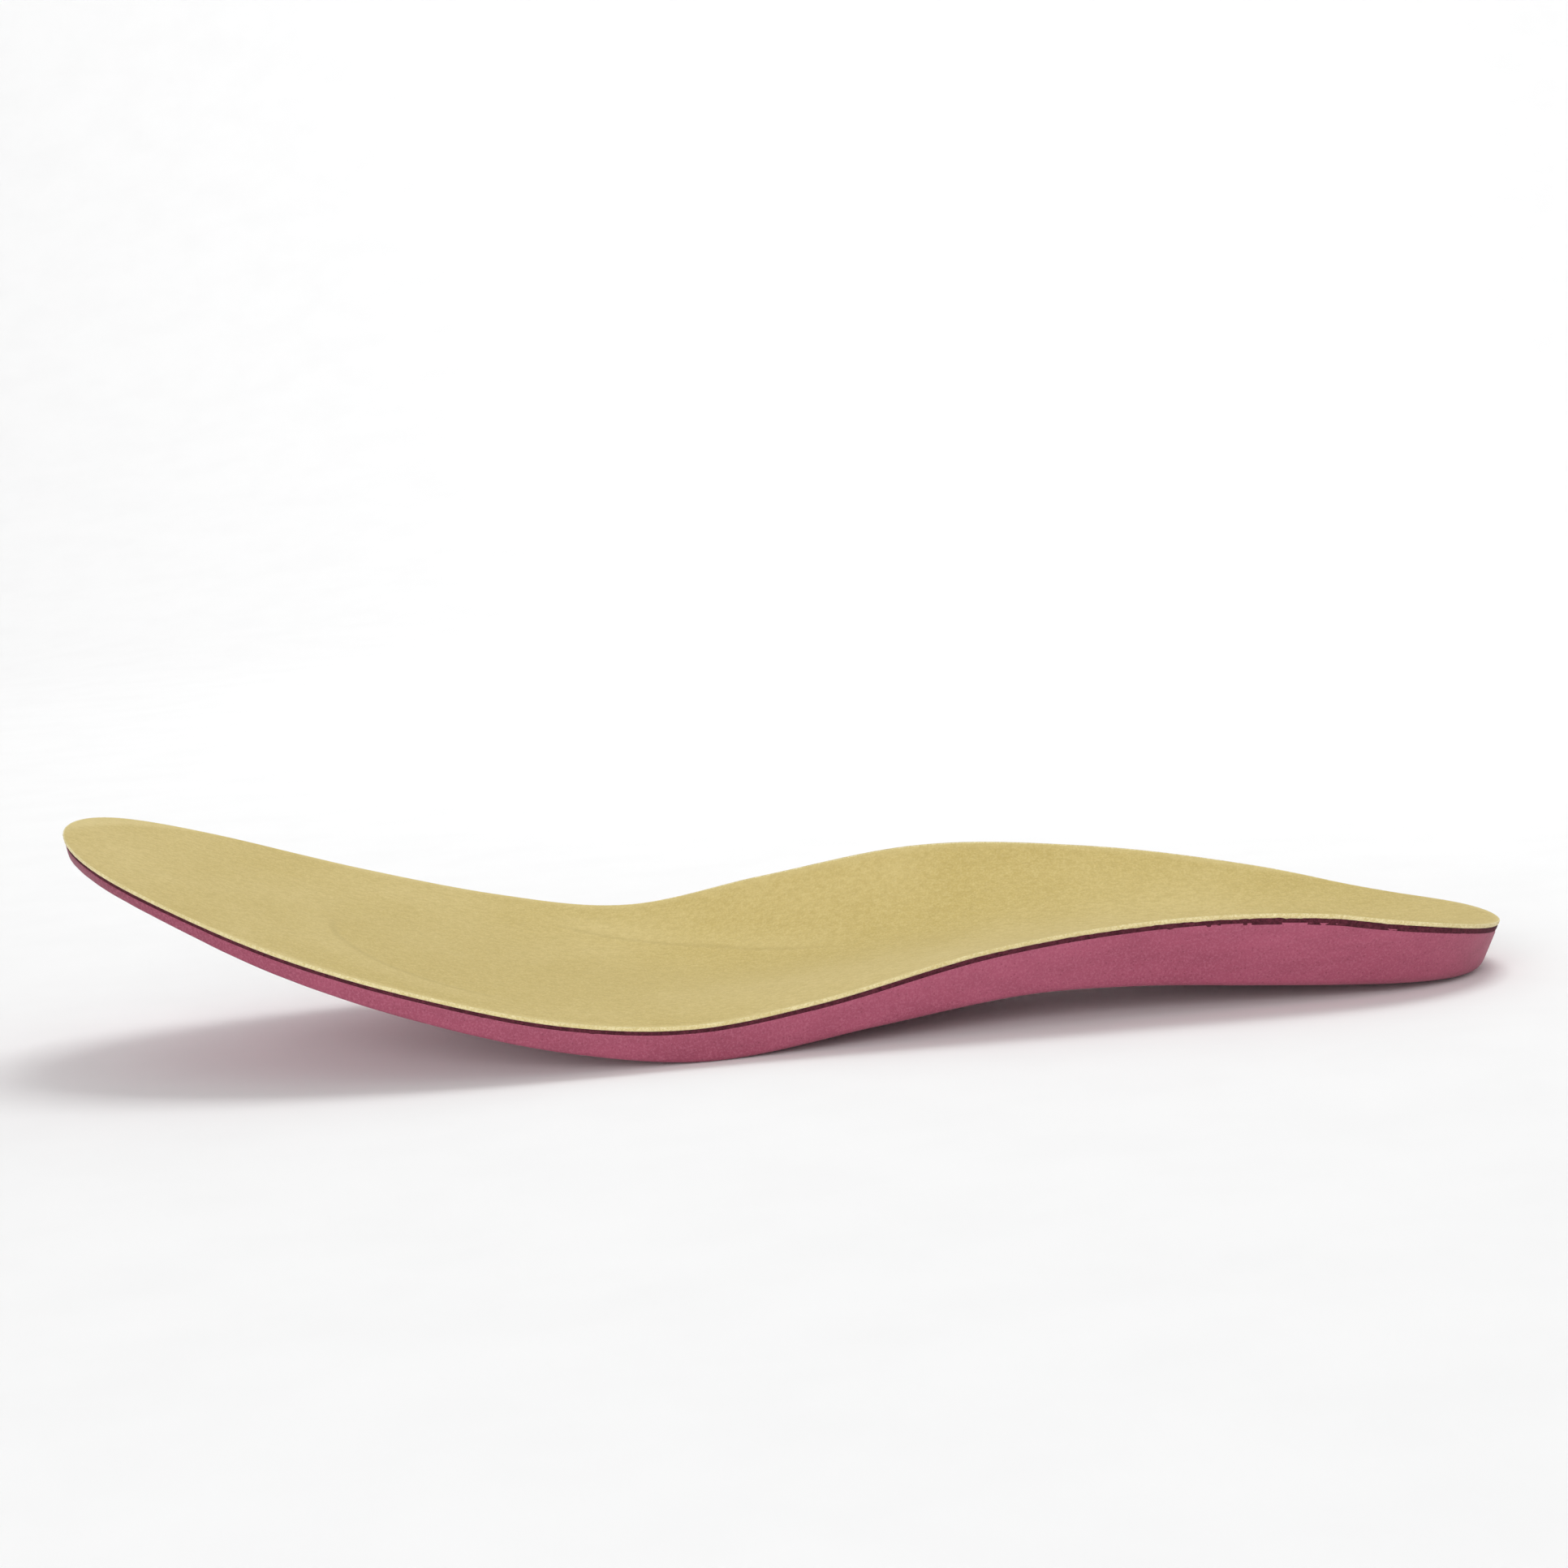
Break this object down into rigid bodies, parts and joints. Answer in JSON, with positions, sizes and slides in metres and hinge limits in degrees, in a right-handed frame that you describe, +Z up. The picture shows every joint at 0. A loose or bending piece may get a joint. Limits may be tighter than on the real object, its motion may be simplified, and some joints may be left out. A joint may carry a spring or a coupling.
{
  "type": "cushioned insole",
  "caption": "Cushioned left shoe insole with a cupped heel, a fabric cover, a moulded foam base and a firm arch insert.",
  "frame": {"origin": "under the middle of the insole, on the surface that it stands on", "axes": "+Z up out of the footbed, -X towards the toe, +Y towards the inner (arch) side"},
  "size_m": [0.2522, 0.089, 0.0416],
  "materials": {
    "cover_fabric": "matte",
    "backing_foam": "matte",
    "base_foam": "matte",
    "arch_rubber": "satin"
  },
  "bodies": {
    "rearfoot": {"top_cover_rearfoot": "cover_fabric", "cover_backing_rearfoot": "backing_foam", "foam_base_rearfoot": "base_foam", "arch_insert": "arch_rubber"},
    "forefoot": {"top_cover_forefoot": "cover_fabric", "cover_backing_forefoot": "backing_foam", "foam_base_forefoot": "base_foam"}
  },
  "joints": [
    {"name": "flex_line", "type": "hinge", "parent": "rearfoot", "child": "forefoot", "pos_m": [-0.04, 0.00085, 0.0125], "axis": [-0.2416, 0.9662, 0.0899], "range_deg": [0, 50], "stiffness_Nm_per_rad": 0.4}
  ]
}
